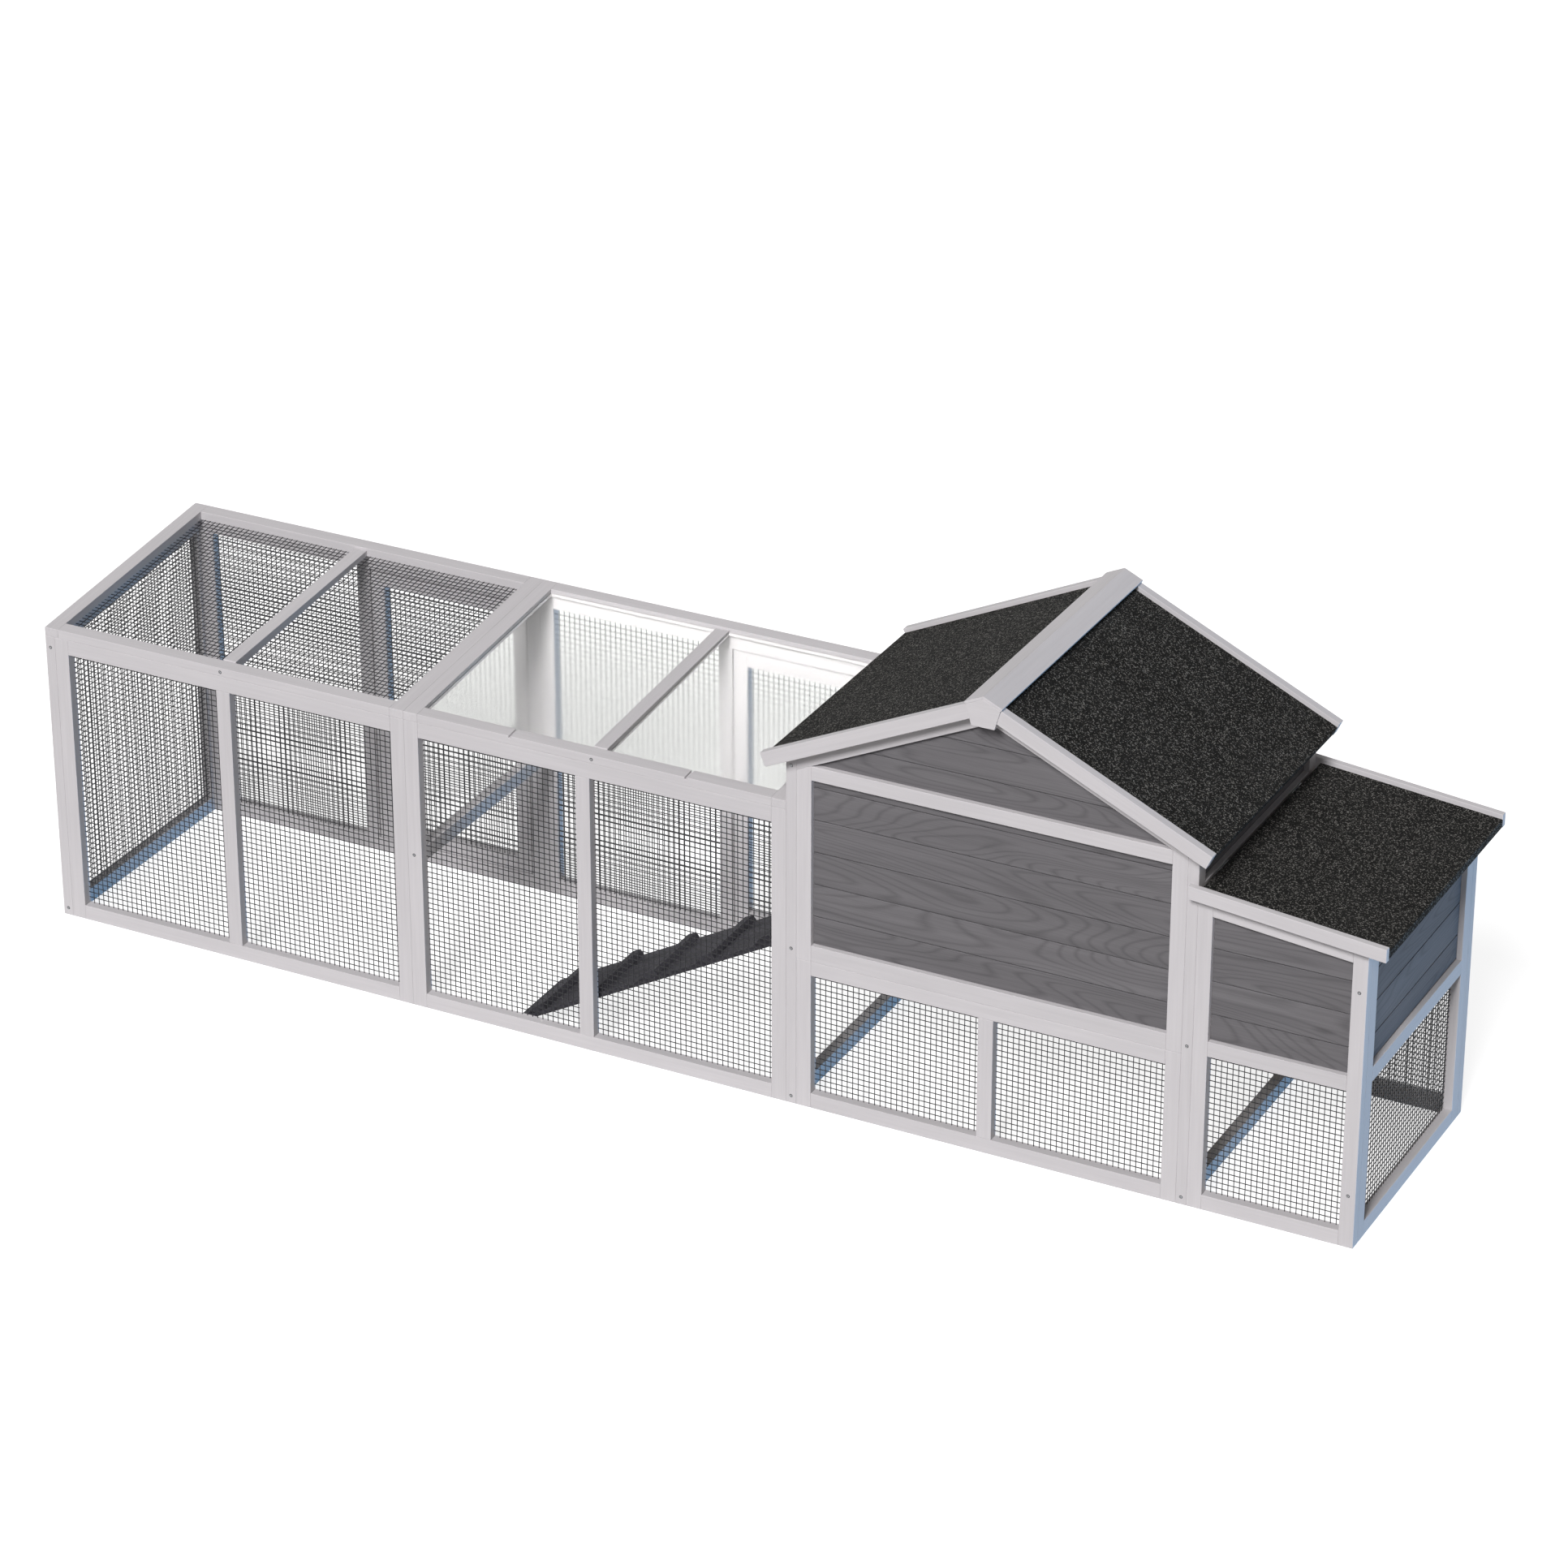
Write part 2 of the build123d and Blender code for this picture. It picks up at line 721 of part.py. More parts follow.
plates = [
    along_y(plate_outline, front_y - plate_proud, roof_y0),
    along_y(plate_outline, roof_y1, far_y + plate_proud),
]
parts["apex_plates"] = plates
for board in range(len(parts["bargeboards"])):
    for plate in plates:
        parts["bargeboards"][board] = (parts["bargeboards"][board] - plate).solid()

cap_apex = barge_top_z + plumb(cap_t)
cap_outline = [
    (0, barge_top_z),
    (0, cap_apex),
    (cap_w, drop_line(cap_w, cap_apex)),
    (cap_w - cap_t * rise, drop_line(cap_w, cap_apex) - cap_t * fall),
]
parts["ridge_cap"] = [
    along_y(mirrored(cap_outline, side), front_y - plate_proud, far_y + plate_proud) for side in (-1, 1)
]

# Nest box: front and far panels with sloping tops, and a side panel between them
nest_in_0 = x_nest + nest_stile_w
nest_in_1 = x_end - nest_stile_w
nest_mid_z1 = nest_mid_rail_z + rail_w


def nest_panel(y0):
    """Stiles and three rails of the front or far panel of the nest box."""
    y1 = y0 + panel_t
    return [
        between(x_nest, nest_in_0, ground, nest_frame_top, y0, y1),
        between(nest_in_1, x_end, ground, nest_frame_top, y0, y1),
        block(nest_in_0, nest_in_1, y0, y1, 0, rail_w),
        block(nest_in_0, nest_in_1, y0, y1, nest_mid_rail_z, nest_mid_z1),
        between(nest_in_0, nest_in_1, nest_top_rail_under, nest_frame_top, y0, y1),
    ]


def nest_boards(face, inward):
    """Siding of the front or far nest panel, cut to the slope of the top rail."""
    top = nest_top_rail_under(nest_in_0)
    field = boards("x", nest_in_0, nest_in_1, face, inward, nest_mid_z1, top, first_groove_z - nest_groove_drop)
    shape = between(nest_in_0, nest_in_1, level(nest_mid_z1), nest_top_rail_under, -panel_t,
                    depth + panel_t)
    return clipped(field, shape)


side_x0 = x_end - panel_t
side_y0 = panel_t + stile_w
side_y1 = back_y - stile_w
side_rail_low = nest_top_rail_under(x_end)
parts["nest_front_frame"] = nest_panel(0)
parts["nest_back_frame"] = nest_panel(back_y)
parts["nest_side_frame"] = [
    between(side_x0, x_end, ground, nest_frame_top, panel_t, side_y0),
    between(side_x0, x_end, ground, nest_frame_top, side_y1, back_y),
    block(side_x0, x_end, side_y0, side_y1, 0, rail_w),
    block(side_x0, x_end, side_y0, side_y1, nest_mid_rail_z, nest_mid_z1),
    between(side_x0, x_end, level(side_rail_low), nest_frame_top, side_y0, side_y1),
]
parts["nest_siding"] = (
    nest_boards(siding_setback, 1)
    + nest_boards(depth - siding_setback, -1)
    + boards("y", side_y0, side_y1, x_end - siding_setback, -1, nest_mid_z1, side_rail_low,
             first_groove_z - nest_groove_drop)
)
side_net_x = x_end - net_setback - net_t
parts["nest_mesh"] = [
    wall_net(nest_in_0, nest_in_1, rail_w, nest_mid_rail_z, net_setback),
    wall_net(nest_in_0, nest_in_1, rail_w, nest_mid_rail_z, back_net_y),
    net(
        [
            (side_net_x, side_y0, rail_w),
            (side_net_x, side_y1, rail_w),
            (side_net_x, side_y1, nest_mid_rail_z),
            (side_net_x, side_y0, nest_mid_rail_z),
        ],
        (net_t, 0, 0),
    ),
]
divider_top = lid_line(barge_stand + felt_t + deck_t + divider_gap)
parts["nest_inside"] = [
    block(x_nest, side_x0, panel_t, back_y, floor_z - floor_t, floor_z),
    block(x_nest, side_x0, panel_t, panel_t + batten_w, batten_z0, floor_z - floor_t),
    block(x_nest, side_x0, back_y - batten_w, back_y, batten_z0, floor_z - floor_t),
    between(lid_axis_x + leaf_t, side_x0, level(floor_z), divider_top, middle_y - divider_t / 2,
            middle_y + divider_t / 2),
]

# Nest lid: deck, felt folded over its right end, and a board along the front and far edges
lid_y0 = lid_board_t - lid_overhang
lid_y1 = depth - lid_y0
lid_deck_x0 = lid_axis_x + knuckle_r + 2 * hinge_play
lid_deck_x1 = lid_right_x - felt_t
lid_felt_x0 = lid_axis_x + knuckle_r - hinge_play
slope_angle = atan(lid_slope)
lid_leaf_dir = (cos(slope_angle), 0, -sin(slope_angle))
lid_side_dir = (sin(slope_angle), 0, cos(slope_angle))
lid_offset = (lid_deck_top(lid_axis_x) - lid_axis_z) * cos(slope_angle)
lid_hinge_y = (hinge_inset + panel_t, back_y - hinge_inset)
lid_deck = between(lid_deck_x0, lid_deck_x1, lid_under, lid_deck_top, lid_y0, lid_y1)
lid_pocket_l = hinge_l + 2 * hinge_play
for y in lid_hinge_y:
    axis = Vector(*lid_leaf_dir).cross(Vector(*lid_side_dir))
    place = Plane(origin=(lid_axis_x, y, lid_axis_z), x_dir=lid_leaf_dir, z_dir=axis).location
    pocket = block(0, leaf_w, lid_offset - leaf_t, lid_offset + 1, -lid_pocket_l / 2, lid_pocket_l / 2)
    lid_deck = (lid_deck - pocket.moved(place)).solid()
parts["lid_deck"] = [lid_deck]
lid_fold_foot = lid_felt_top(lid_right_x) - felt_fold
parts["lid_felt"] = [
    along_y(
        [
            (lid_felt_x0, lid_deck_top(lid_felt_x0)),
            (lid_deck_x1, lid_deck_top(lid_deck_x1)),
            (lid_deck_x1, lid_fold_foot),
            (lid_right_x, lid_fold_foot),
            (lid_right_x, lid_felt_top(lid_right_x)),
            (lid_felt_x0, lid_felt_top(lid_felt_x0)),
        ],
        lid_y0,
        lid_y1,
    )
]
lid_board_top = lid_line(0)
lid_board_under = lid_line(lid_board_d)
parts["lid_boards"] = [
    between(lid_left_x, lid_right_x, lid_board_under, lid_board_top, -lid_overhang, lid_y0),
    between(lid_left_x, lid_right_x, lid_board_under, lid_board_top, lid_y1, depth + lid_overhang),
]

# Ramp: a board from the ground to the pop hole, with cleats across it
slope = radians(ramp_angle)
ramp_axis_x = x_left_wall - knuckle_r - hinge_play
ramp_axis_z = floor_z + knuckle_r + hinge_play
ramp_head_z = ramp_axis_z - ramp_head_drop - ramp_t / cos(slope)
ramp_foot_x = ramp_axis_x - ramp_head_z / tan(slope)
ramp_top_x = x_left_wall - ramp_end_gap
ramp_y1 = ramp_front_y + ramp_w


def ramp_under_z(x):
    return (x - ramp_foot_x) * tan(slope)


def ramp_surface_z(x):
    return ramp_under_z(x) + ramp_t / cos(slope)


def on_ramp(along, above):
    """Point at a distance up the ramp from its foot and above its top surface."""
    height = above + ramp_t
    return (ramp_foot_x + along * cos(slope) - height * sin(slope),
            along * sin(slope) + height * cos(slope))


ramp_outline = [
    (ramp_foot_x, 0),
    (ramp_top_x, ramp_under_z(ramp_top_x)),
    (ramp_top_x, ramp_surface_z(ramp_top_x)),
    on_ramp(0, 0),
]
parts["ramp_board"] = [along_y(ramp_outline, ramp_front_y, ramp_y1)]
parts["ramp_cleats"] = []
ramp_length = (ramp_top_x - ramp_foot_x) / cos(slope)
cleat_pitch = (ramp_length - cleat_first - cleat_top_gap) / (cleat_count - 1)
for i in range(cleat_count):
    head = cleat_first + i * cleat_pitch
    flat_start = head - cleat_end_l - cleat_flat_l
    cleat = [
        on_ramp(flat_start - cleat_rise_l, 0),
        on_ramp(head, 0),
        on_ramp(head - cleat_end_l, cleat_h),
        on_ramp(flat_start, cleat_h),
    ]
    parts["ramp_cleats"].append(along_y(cleat, ramp_front_y, ramp_y1))

# Pop door between an upper and a lower runner on the inner face of the left wall
door_x0 = x_house + slide_gap
door_x1 = door_x0 + pop_door_t
runner_x0 = door_x1 + slide_gap
runner_x1 = runner_x0 + runner_t
pop_door_z0 = floor_z + slide_gap
pop_door_z1 = pop_z1 + runner_h + pop_door_lap
pop_door_y0 = pop_y1 + pop_door_lap
pop_door_w = pop_hole_w + 2 * pop_door_lap
pop_travel = pop_hole_w + pop_door_lap
runner_y1 = pop_door_y0 + pop_door_w + 2 * pop_door_lap
grip_x1 = door_x1 + runner_t
grip_y = pop_door_y0 + pop_door_w / 2
grip_z = floor_z + pop_hole_h / 2
pop_panel = block(door_x0, door_x1, pop_door_y0, pop_door_y0 + pop_door_w, pop_door_z0, pop_door_z1)
pop_grip = block(door_x1, grip_x1, grip_y - runner_h, grip_y + runner_h, grip_z - bolt_plate_l / 2,
                 grip_z + bolt_plate_l / 2)
parts["pop_door"] = [pop_panel, pop_grip]
top_runner_z = pop_door_z1 + slide_gap
parts["pop_door_runners"] = [
    block(runner_x0, runner_x1, inner_y0, runner_y1, floor_z, floor_z + runner_h),
    along_y(
        [
            (x_house, top_runner_z),
            (runner_x0, top_runner_z),
            (runner_x0, top_runner_z - runner_h),
            (runner_x1, top_runner_z - runner_h),
            (runner_x1, top_runner_z + runner_t),
            (x_house, top_runner_z + runner_t),
        ],
        inner_y0,
        runner_y1,
    ),
]

# Hinges: the fixed leaves, pins and keepers belong to the coop, the others to what moves
parts["fixed_fittings"] = []
parts["hinge_pins"] = []


def door_hinges(axis_x, heights):
    """Surface hinges on the far face of the coop: returns the moving leaves."""
    leaves = []
    offset = knuckle_r + hinge_play
    for z in heights:
        origin = (axis_x, depth + offset, z)
        parts["fixed_fittings"].append(
            half_hinge(origin, (-1, 0, 0), (0, -1, 0), outer_spans(hinge_l), offset, pin_r, hinge_l)
        )
        leaves.append(
            half_hinge(origin, (1, 0, 0), (0, -1, 0), inner_span(hinge_l), offset, pin_r + pin_play,
                       hinge_l)
        )
        parts["hinge_pins"].append(rod((axis_x, depth + offset, z - hinge_l / 2), (0, 0, 1), pin_r, hinge_l))
    return leaves


def door_bolt(edge_x, z):
    """Bolt by the free edge of a door: returns its plate with guides, and its rod."""
    axis_y = depth + leaf_t + guide_d / 2
    plate = block(edge_x - bolt_plate_l, edge_x - bolt_inset, depth, depth + leaf_t, z - bolt_plate_h / 2,
                  z + bolt_plate_h / 2)
    for x in (edge_x - bolt_plate_l, edge_x - bolt_inset - guide_l):
        plate = plate + block(x, x + guide_l, depth + leaf_t, depth + leaf_t + guide_d,
                              z - guide_h / 2, z + guide_h / 2)
    plate = plate - rod((edge_x - 2 * bolt_plate_l, axis_y, z), (1, 0, 0), bolt_r + bolt_play,
                        3 * bolt_plate_l)
    bar = rod((edge_x - bolt_plate_l - bolt_inset, axis_y, z), (1, 0, 0), bolt_r, bolt_plate_l + bolt_inset / 2)
    knob_x = edge_x - bolt_plate_l + guide_l + knob_r + bolt_inset
    bar = bar + rod((knob_x, axis_y, z), (0, 1, 0), knob_r, bolt_r + knob_l)
    keeper_x = edge_x + door_gap + bolt_r
    keeper_x1 = keeper_x + guide_l
    outer_y = depth + leaf_t + guide_d
    hole = bolt_r + keeper_play
    parts["fixed_fittings"] += [
        block(keeper_x, keeper_x1, depth, outer_y, z - guide_h / 2, z - hole),
        block(keeper_x, keeper_x1, depth, outer_y, z + hole, z + guide_h / 2),
        block(keeper_x, keeper_x1, axis_y + hole, outer_y, z - hole, z + hole),
    ]
    return [plate.solid()], [bar.solid()]


run_hinge_z = (rail_w + hinge_inset, back_top - stile_w - hinge_inset)
house_hinge_z = (house_door_z[0] + hinge_inset, house_door_z[1] - hinge_inset)
doors = {
    "run_1": (run_1_door_x, run_hinge_z),
    "run_2": (run_2_door_x, run_hinge_z),
    "house": ((house_in_0, house_in_1), house_hinge_z),
}
for name, (opening, heights) in doors.items():
    leaves = door_hinges(opening[0] + door_gap / 2, heights)
    plate, bar = door_bolt(opening[1] - door_gap, sum(heights) / 2)
    parts[name + "_door_fittings"] = leaves + plate
    parts[name + "_bolt"] = bar

parts["lid_hinges"] = []
wall_offset = knuckle_r + hinge_play
for y in lid_hinge_y:
    origin = (lid_axis_x, y, lid_axis_z)
    parts["fixed_fittings"].append(
        half_hinge(origin, (0, 0, -1), (-1, 0, 0), outer_spans(hinge_l), wall_offset, pin_r, hinge_l)
    )
    parts["lid_hinges"].append(
        half_hinge(origin, lid_leaf_dir, lid_side_dir, inner_span(hinge_l), lid_offset,
                   pin_r + pin_play, hinge_l)
    )
    parts["hinge_pins"].append(rod((lid_axis_x, y - hinge_l / 2, lid_axis_z), (0, 1, 0), pin_r, hinge_l))

ramp_mid_y = ramp_front_y + ramp_w / 2
ramp_origin = (ramp_axis_x, ramp_mid_y, ramp_axis_z)
ramp_offset = (ramp_axis_z - ramp_surface_z(ramp_axis_x)) * cos(slope)
parts["fixed_fittings"].append(
    half_hinge(ramp_origin, (1, 0, 0), (0, 0, -1), outer_spans(ramp_hinge_l), wall_offset, pin_r,
               ramp_hinge_l)
)
parts["ramp_hinge"] = [
    half_hinge(ramp_origin, (-cos(slope), 0, -sin(slope)), (sin(slope), 0, -cos(slope)),
               inner_span(ramp_hinge_l), ramp_offset, pin_r + pin_play, ramp_hinge_l, ramp_web_x0)
]
parts["hinge_pins"].append(
    rod((ramp_axis_x, ramp_mid_y - ramp_hinge_l / 2, ramp_axis_z), (0, 1, 0), pin_r, ramp_hinge_l)
)

# Screw heads on the front face, where the panels meet
strip_x = panel_t / 2
left_strip_x = x_left_wall + panel_t / 2
right_strip_x = x_right_wall + panel_t / 2
end_screw_x = x_end - nest_stile_w / 2
low_screw_z = rail_w / 2
mid_screw_z = tie_rail_z + stile_w / 2
roof_screw_z = run_panel_h + run_roof_t / 2
screw_points = [
    (strip_x, low_screw_z),
    (strip_x, run_panel_h - high_screw_drop),
    (rafter_1_x + rafter_w / 2 - rafter_screw_shift, roof_screw_z),
    (rafter_2_x + rafter_w / 2 - rafter_screw_shift, roof_screw_z),
    (x_run_2 + stile_w / 2 - tie_screw_shift, mid_screw_z),
    (left_strip_x, low_screw_z),
    (left_strip_x, mid_screw_z),
    (left_strip_x, cross_rail_z + panel_t),
    (right_strip_x, low_screw_z),
    (right_strip_x, mid_screw_z),
    (end_screw_x, rail_w + low_end_screw_rise),
    (end_screw_x, floor_z + high_end_screw_rise),
]
parts["screws"] = [rod((x, -screw_proud, z), (0, 1, 0), screw_r, screw_proud) for x, z in screw_points]

# Shift to the origin under the middle of the whole coop, and write one file for each node
shift = Location((-lid_right_x / 2, -middle_y, 0))
for name, solids in parts.items():
    moved = [solid.moved(shift) for solid in solids]
    shape = moved[0] if len(moved) == 1 else Compound(moved)
    export_step(shape, "parts/" + name + ".step")
print(len(parts), "nodes,", sum(len(solids) for solids in parts.values()), "solids")
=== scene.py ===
import json
import random
from math import cos, radians, sin

import bmesh
import bpy
from mathutils import Matrix, Vector

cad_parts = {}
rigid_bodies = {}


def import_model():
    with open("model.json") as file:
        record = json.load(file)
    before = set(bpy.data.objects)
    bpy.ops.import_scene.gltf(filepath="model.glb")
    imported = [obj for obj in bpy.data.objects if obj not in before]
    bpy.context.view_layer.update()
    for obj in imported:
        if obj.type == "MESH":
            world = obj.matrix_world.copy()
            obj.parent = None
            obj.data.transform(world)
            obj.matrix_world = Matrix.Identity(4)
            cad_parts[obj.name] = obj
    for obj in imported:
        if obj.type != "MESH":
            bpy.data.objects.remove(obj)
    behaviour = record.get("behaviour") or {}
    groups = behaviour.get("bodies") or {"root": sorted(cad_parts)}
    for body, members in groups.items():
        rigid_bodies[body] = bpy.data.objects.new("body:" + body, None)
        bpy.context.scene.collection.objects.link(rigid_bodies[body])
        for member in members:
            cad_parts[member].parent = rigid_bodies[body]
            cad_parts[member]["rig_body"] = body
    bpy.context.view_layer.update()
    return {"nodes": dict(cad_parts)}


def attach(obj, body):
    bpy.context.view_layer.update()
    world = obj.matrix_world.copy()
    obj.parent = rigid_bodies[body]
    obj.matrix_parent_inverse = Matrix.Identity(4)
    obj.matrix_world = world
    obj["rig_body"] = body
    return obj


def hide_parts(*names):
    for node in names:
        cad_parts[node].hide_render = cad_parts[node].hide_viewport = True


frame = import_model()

# Run panels: left end, front and far frames and the tie rail between the two runs.
# Planed softwood, sawn square and butted, with eased edges and two coats of off-white paint.
# Stiles run full height, rails sit between them, and the panels are screwed side to side.
chance = random.Random(7)
PAINT = (0.655, 0.635, 0.65)
TIMBER_EASE = 0.0011
MERGE_GAP = 2e-6
FLAT_ANGLE = radians(0.5)
SHARP_ANGLE = radians(18)
UPRIGHT = 0.9
GRAIN_SHIFT = 9
NOISE_ROUGHNESS = 0.55
BRUSH_STRETCH = (5, 170, 170)
CLOUD_STRETCH = (3, 14, 14)
PAINT_RELIEF = 0.0006


def solid_spans(mesh):
    """First and last face of each closed solid: its open edges have all met by then."""
    corners = [tuple(round(c, 6) for c in v.co) for v in mesh.vertices]
    spans, open_edges, start = [], set(), 0
    for face in mesh.polygons:
        ring = [corners[i] for i in face.vertices]
        for a, b in zip(ring, ring[1:] + ring[:1]):
            if (b, a) in open_edges:
                open_edges.remove((b, a))
            else:
                open_edges.add((a, b))
        if not open_edges:
            spans.append((start, face.index + 1))
            start = face.index + 1
    return spans


def solid_copies(node):
    """A merged copy of each solid of a CAD node, with flat faces in one piece."""
    mesh = frame["nodes"][node].data
    whole = bmesh.new()
    whole.from_mesh(mesh)
    for first, last in solid_spans(mesh):
        solid = whole.copy()
        solid.faces.ensure_lookup_table()
        others = [f for f in solid.faces if not first <= f.index < last]
        bmesh.ops.delete(solid, geom=others, context="FACES")
        bmesh.ops.remove_doubles(solid, verts=solid.verts, dist=MERGE_GAP)
        bmesh.ops.dissolve_limit(solid, angle_limit=FLAT_ANGLE, verts=solid.verts,
                                 edges=solid.edges)
        yield solid
        solid.free()
    whole.free()


def mark_grain(solid):
    """Coordinates that run along the longest edge, and a tone that differs from piece to piece."""
    longest = max(solid.edges, key=lambda e: e.calc_length())
    along = (longest.verts[1].co - longest.verts[0].co).normalized()
    if abs(along.z) > UPRIGHT:
        across = along.orthogonal().normalized()
    else:
        across = Vector((0, 0, 1)).cross(along)
    across.normalize()
    through = along.cross(across)
    shift = Vector(chance.uniform(0, GRAIN_SHIFT) for _ in range(3))
    tone = chance.uniform(-1, 1)
    grain_layer = solid.verts.layers.float_vector.new("grain")
    tone_layer = solid.verts.layers.float.new("tone")
    for v in solid.verts:
        v[grain_layer] = Vector((v.co.dot(along), v.co.dot(across), v.co.dot(through))) + shift
        v[tone_layer] = tone


def show(mesh, name, body, slot, *finishes):
    """Object for a finished mesh that rides with its body and takes its finish."""
    for finish in finishes:
        mesh.materials.append(finish)
    piece = bpy.data.objects.new(name, mesh)
    bpy.context.scene.collection.objects.link(piece)
    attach(piece, body)
    return piece


def body_of(node):
    return frame["nodes"][node]["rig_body"]


def ease(solid, width, segments=2):
    """Rounds every sharp edge of one solid."""
    sharp = [e for e in solid.edges
             if len(e.link_faces) == 2 and e.calc_face_angle() > SHARP_ANGLE]
    bmesh.ops.bevel(solid, geom=sharp, offset=width, offset_type="OFFSET", segments=segments,
                    profile=0.5, affect="EDGES", clamp_overlap=True, material=-1)


def made_up(node, slot, finish, width=TIMBER_EASE, segments=2):
    """The node's pieces with eased edges, each with its own grain, as one object."""
    joined = bmesh.new()
    joined.verts.layers.float_vector.new("grain")
    joined.verts.layers.float.new("tone")
    for solid in solid_copies(node):
        mark_grain(solid)
        ease(solid, width, segments)
        for f in solid.faces:
            f.smooth = False
        part = bpy.data.meshes.new("part")
        solid.to_mesh(part)
        joined.from_mesh(part)
        bpy.data.meshes.remove(part)
    mesh = bpy.data.meshes.new(node + "_look")
    joined.to_mesh(mesh)
    joined.free()
    piece = show(mesh, node + "_look", body_of(node), slot, finish)
    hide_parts(node)
    return piece


def new_finish(name, color, roughness, metallic=0.0):
    """Material with its one shader, and short ways to its nodes and links."""
    finish = bpy.data.materials.new(name)
    finish.use_nodes = True
    nodes = finish.node_tree.nodes
    shader = nodes["Principled BSDF"]
    shader.inputs["Base Color"].default_value = (*color, 1)
    shader.inputs["Roughness"].default_value = roughness
    shader.inputs["Metallic"].default_value = metallic
    return finish, nodes, finish.node_tree.links, shader


def streaks(nodes, links, stretch, detail=4.0, warp=0.0, source="grain"):
    """Noise stretched by a scale for each direction, on the grain or on the object."""
    if source == "grain":
        place = nodes.new("ShaderNodeAttribute")
        place.attribute_name = "grain"
        spot = place.outputs["Vector"]
    else:
        place = nodes.new("ShaderNodeTexCoord")
        spot = place.outputs["Object"]
    mapping = nodes.new("ShaderNodeMapping")
    mapping.inputs["Scale"].default_value = stretch
    links.new(spot, mapping.inputs["Vector"])
    noise = nodes.new("ShaderNodeTexNoise")
    noise.inputs["Scale"].default_value = 1.0
    noise.inputs["Detail"].default_value = detail
    noise.inputs["Roughness"].default_value = NOISE_ROUGHNESS
    noise.inputs["Distortion"].default_value = warp
    links.new(mapping.outputs["Vector"], noise.inputs["Vector"])
    return noise.outputs["Fac"]


def ramp(nodes, links, factor, *stops):
    """Colour ramp through (place, colour) stops."""
    node = nodes.new("ShaderNodeValToRGB")
    for i, (place, color) in enumerate(stops):
        stop = node.color_ramp.elements[i] if i < 2 else node.color_ramp.elements.new(place)
        stop.position = place
        stop.color = (*color, 1)
    links.new(factor, node.inputs["Fac"])
    return node.outputs["Color"]


def blended(nodes, links, kind, factor, a, b):
    """Colour mix of two colours, where each may be a constant or a socket."""
    node = nodes.new("ShaderNodeMix")
    node.data_type = "RGBA"
    node.blend_type = kind
    for value, socket in ((factor, node.inputs[0]), (a, node.inputs[6]), (b, node.inputs[7])):
        if isinstance(value, bpy.types.NodeSocket):
            links.new(value, socket)
        else:
            socket.default_value = value
    return node.outputs[2]


def grey(value):
    return (value, value, value)


def tone_of(nodes, links, spread):
    """Multiplier that differs a little from piece to piece."""
    tone = nodes.new("ShaderNodeAttribute")
    tone.attribute_name = "tone"
    node = nodes.new("ShaderNodeMapRange")
    node.inputs["From Min"].default_value = -1.0
    node.inputs["To Min"].default_value = 1.0 - spread
    node.inputs["To Max"].default_value = 1.0 + spread
    links.new(tone.outputs["Fac"], node.inputs["Value"])
    return node.outputs["Result"]


def raised(nodes, links, shader, height, strength, distance):
    """Relief in the surface from a height."""
    bump = nodes.new("ShaderNodeBump")
    bump.inputs["Strength"].default_value = strength
    bump.inputs["Distance"].default_value = distance
    links.new(height, bump.inputs["Height"])
    links.new(bump.outputs["Normal"], shader.inputs["Normal"])


def painted(name, color):
    """Paint over planed timber: the grain shows as faint streaks and low relief."""
    finish, nodes, links, shader = new_finish(name, color, 0.5)
    shader.inputs["Specular IOR Level"].default_value = 0.3
    brush = streaks(nodes, links, BRUSH_STRETCH)
    cloud = streaks(nodes, links, CLOUD_STRETCH, detail=3.0)
    base = ramp(nodes, links, brush, (0.25, [c * 0.93 for c in color]), (0.7, color))
    soft = ramp(nodes, links, cloud, (0.3, grey(0.95)), (0.65, grey(1.0)))
    toned = blended(nodes, links, "MULTIPLY", 1.0, base, soft)
    toned = blended(nodes, links, "MULTIPLY", 1.0, toned, tone_of(nodes, links, 0.025))
    links.new(toned, shader.inputs["Base Color"])
    raised(nodes, links, shader, brush, 0.12, PAINT_RELIEF)
    return finish


white_paint = painted("white_paint", PAINT)
for node in ("left_end_frame", "run_1_front_frame", "run_2_front_frame", "run_1_back_frame",
             "run_2_back_frame", "tie_rail"):
    made_up(node, "white_paint", white_paint)

# Wire netting in the runs, the doors and under the house and nest box.
# Black square mesh, welded from round wire and coated, stapled in the rebates of the frames.
# The upright wires lie on one side of the level ones.
WIRE_PITCH = 0.0127
WIRE_GAUGE = 0.0014
WIRE_SHIFT = 0.45 * WIRE_GAUGE
NET_T = 0.001
NET_THIN = 2 * NET_T
END_REACH = 1e-4

black_wire, nodes, links, shader = new_finish("black_wire", (0.018, 0.018, 0.02), 0.42)
shader.inputs["Specular IOR Level"].default_value = 0.4
rub = streaks(nodes, links, grey(260), detail=2.0, source="object")
links.new(ramp(nodes, links, rub, (0.3, (0.012, 0.012, 0.014)), (0.75, (0.03, 0.03, 0.034))),
          shader.inputs["Base Color"])


def add_wire(netting, start, end, out):
    """Four-sided wire between two points, on the side of the net that out points to."""
    run = end - start
    side = out.cross(run).normalized() * WIRE_GAUGE
    turn = Matrix((run, side, out * WIRE_GAUGE)).transposed().to_4x4()
    middle = (start + end) / 2 + out * WIRE_SHIFT
    bmesh.ops.create_cube(netting, size=1, matrix=Matrix.Translation(middle) @ turn)


